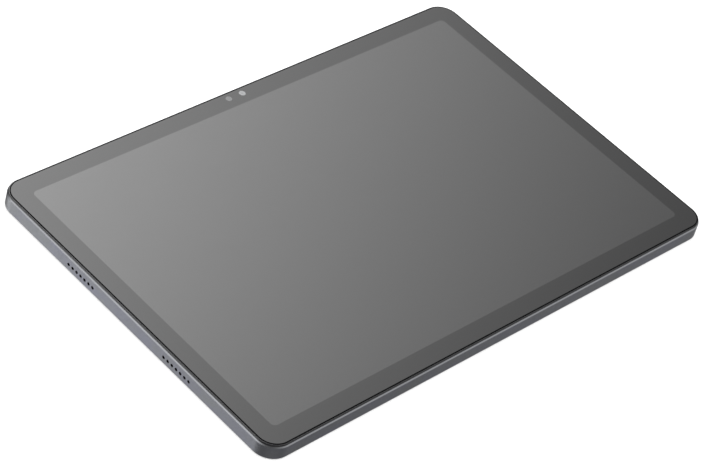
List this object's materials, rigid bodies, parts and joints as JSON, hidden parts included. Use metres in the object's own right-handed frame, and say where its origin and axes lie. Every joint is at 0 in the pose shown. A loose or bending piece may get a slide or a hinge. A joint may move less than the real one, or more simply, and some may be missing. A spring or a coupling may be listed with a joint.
{
  "type": "tablet computer",
  "caption": "Slim metal-backed tablet computer with a wide glass touch screen, speaker grilles in its short sides, side keys and a sliding card tray.",
  "frame": {"origin": "on the flat back, under the middle of the body; the side keys stand 0.4 mm further out in +Y and are not part of that middle", "axes": "+X along the long side, +Y towards the long side that holds the front camera and the side keys, +Z out of the screen"},
  "size_m": [0.2566, 0.1678, 0.0075],
  "materials": {
    "slate_aluminium": "bead-blasted and anodised slate grey, with a polished edge at the top",
    "dark_plastic": "satin dark grey",
    "cover_glass": "polished glass over black ink",
    "tape": "black foam tape",
    "display": "dark display glass, switched off",
    "white_film": "white reflector film",
    "magnesium": "as-cast light metal",
    "battery_foil": "dark laminate foil",
    "circuit_board": "green solder resist",
    "chip": "black moulding compound",
    "shield_steel": "tinned sheet steel",
    "polyimide": "amber flexible circuit film",
    "black_moulding": "black moulded plastic",
    "steel": "satin stainless steel",
    "rubber": "black silicone rubber",
    "lens_glass": "coated camera glass",
    "flash_plastic": "pale yellow diffusing plastic"
  },
  "bodies": {
    "tablet": {"rear_housing": "slate_aluminium", "front_frame": "dark_plastic", "cover_glass": "cover_glass", "glass_tape": "tape", "mid_frame": "magnesium", "mid_frame_screw_1": "steel", "mid_frame_screw_2": "steel", "mid_frame_screw_3": "steel", "mid_frame_screw_4": "steel", "lcd_panel": "display", "backlight_unit": "white_film", "display_driver_board": "circuit_board", "display_flex": "polyimide", "touch_flex": "polyimide", "battery_cell_left": "battery_foil", "battery_cell_right": "battery_foil", "battery_protection_board": "circuit_board", "battery_flex": "polyimide", "main_board": "circuit_board", "processor": "chip", "memory_chip": "chip", "storage_chip": "chip", "processor_shield": "shield_steel", "power_shield": "shield_steel", "wireless_shield": "shield_steel", "microphone_left": "shield_steel", "microphone_right": "shield_steel", "usb_board": "circuit_board", "usb_c_shell": "steel", "usb_c_tongue": "black_moulding", "board_link_flex": "polyimide", "speaker_left_lower": "black_moulding", "speaker_left_upper": "black_moulding", "speaker_right_lower": "black_moulding", "speaker_right_upper": "black_moulding", "speaker_mesh_left_lower": "shield_steel", "speaker_mesh_left_upper": "shield_steel", "speaker_mesh_right_lower": "shield_steel", "speaker_mesh_right_upper": "shield_steel", "front_camera": "black_moulding", "light_sensor": "black_moulding", "rear_camera": "black_moulding", "rear_camera_ring": "steel", "rear_camera_window": "lens_glass", "flash_led": "flash_plastic", "flash_lens": "flash_plastic", "antenna_left": "polyimide", "antenna_right": "polyimide", "power_switch": "steel", "volume_up_switch": "steel", "volume_down_switch": "steel", "side_key_flex": "polyimide", "side_key_bracket": "steel", "card_reader": "shield_steel"},
    "power_key": {"power_button": "slate_aluminium"},
    "volume_key": {"volume_rocker": "slate_aluminium"},
    "tray": {"card_tray": "slate_aluminium", "card_tray_seal": "rubber"},
    "eject_pusher": {"eject_rod": "steel"},
    "eject_arm": {"eject_lever": "steel"}
  },
  "joints": [
    {"name": "power_press", "type": "slide", "parent": "tablet", "child": "power_key", "axis": [0, -1, 0], "range_m": [0, 0.00025], "stiffness_N_per_m": 5000},
    {"name": "volume_rock", "type": "hinge", "parent": "tablet", "child": "volume_key", "pos_m": [-0.072, 0.08295, 0.0035], "axis": [0, 0, 1], "range_deg": [-1.1, 1.1], "stiffness_Nm_per_rad": 0.8},
    {"name": "tray_slide", "type": "slide", "parent": "tablet", "child": "tray", "axis": [1, 0, 0], "range_m": [0, 0.0225]},
    {"name": "eject_push", "type": "slide", "parent": "tablet", "child": "eject_pusher", "axis": [-1, 0, 0], "range_m": [0, 0.0016]},
    {"name": "eject_turn", "type": "hinge", "parent": "tablet", "child": "eject_arm", "pos_m": [0.1026, 0.0555, 0.0025], "axis": [0, 0, -1], "range_deg": [0, 17.5]}
  ],
  "couplings": [
    {"joint": "eject_turn", "follows": "eject_push", "rad_per_m": 190}
  ]
}
